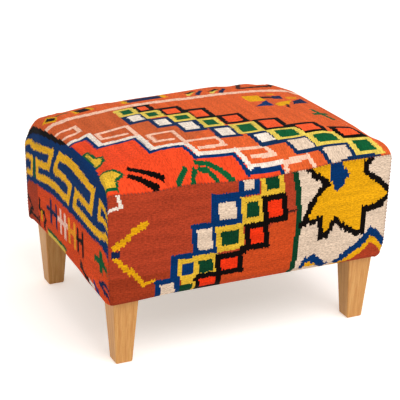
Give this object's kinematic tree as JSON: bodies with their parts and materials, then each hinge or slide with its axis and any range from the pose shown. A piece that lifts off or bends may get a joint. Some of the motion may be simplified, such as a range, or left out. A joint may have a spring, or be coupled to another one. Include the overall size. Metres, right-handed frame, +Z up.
{
  "type": "upholstered footstool",
  "caption": "Low upholstered footstool with a crowned seat in patterned flat-woven wool, on square tapered wooden legs; a rest for the feet or a low seat.",
  "frame": {"origin": "on the floor, under the middle of the stool", "axes": "+X along the long side, to the right seen from the front; -Y towards the front; +Z up"},
  "size_m": [0.6, 0.476, 0.412],
  "materials": {
    "leg_beech": "satin",
    "frame_beech": "matte",
    "hardboard": "matte",
    "jute_webbing": "matte",
    "hessian_cloth": "matte",
    "seat_foam": "matte",
    "wadding": "matte",
    "kilim_wool": "matte",
    "black_cloth": "matte",
    "steel": "satin"
  },
  "bodies": {
    "root": {"bottom_cloth": "black_cloth", "bottom_cloth_staples": "steel", "bottom_rail_back": "frame_beech", "bottom_rail_dowels": "frame_beech", "bottom_rail_front": "frame_beech", "bottom_rail_left": "frame_beech", "bottom_rail_right": "frame_beech", "brace_screws": "steel", "corner_brace_back_left": "frame_beech", "corner_brace_back_right": "frame_beech", "corner_brace_front_left": "frame_beech", "corner_brace_front_right": "frame_beech", "cover_back_panel": "kilim_wool", "cover_front_panel": "kilim_wool", "cover_staples": "steel", "cover_top_and_ends": "kilim_wool", "hessian": "hessian_cloth", "hessian_tacks": "steel", "leg_back_left": "leg_beech", "leg_back_right": "leg_beech", "leg_front_left": "leg_beech", "leg_front_right": "leg_beech", "seat_foam": "seat_foam", "side_board_back": "hardboard", "side_board_front": "hardboard", "side_board_left": "hardboard", "side_board_right": "hardboard", "side_board_staples": "steel", "top_rail_back": "frame_beech", "top_rail_dowels": "frame_beech", "top_rail_front": "frame_beech", "top_rail_left": "frame_beech", "top_rail_right": "frame_beech", "wadding": "wadding", "webbing_cross_1": "jute_webbing", "webbing_cross_2": "jute_webbing", "webbing_cross_3": "jute_webbing", "webbing_cross_4": "jute_webbing", "webbing_long_1": "jute_webbing", "webbing_long_2": "jute_webbing", "webbing_long_3": "jute_webbing", "webbing_tacks": "steel"}
  },
  "joints": []
}
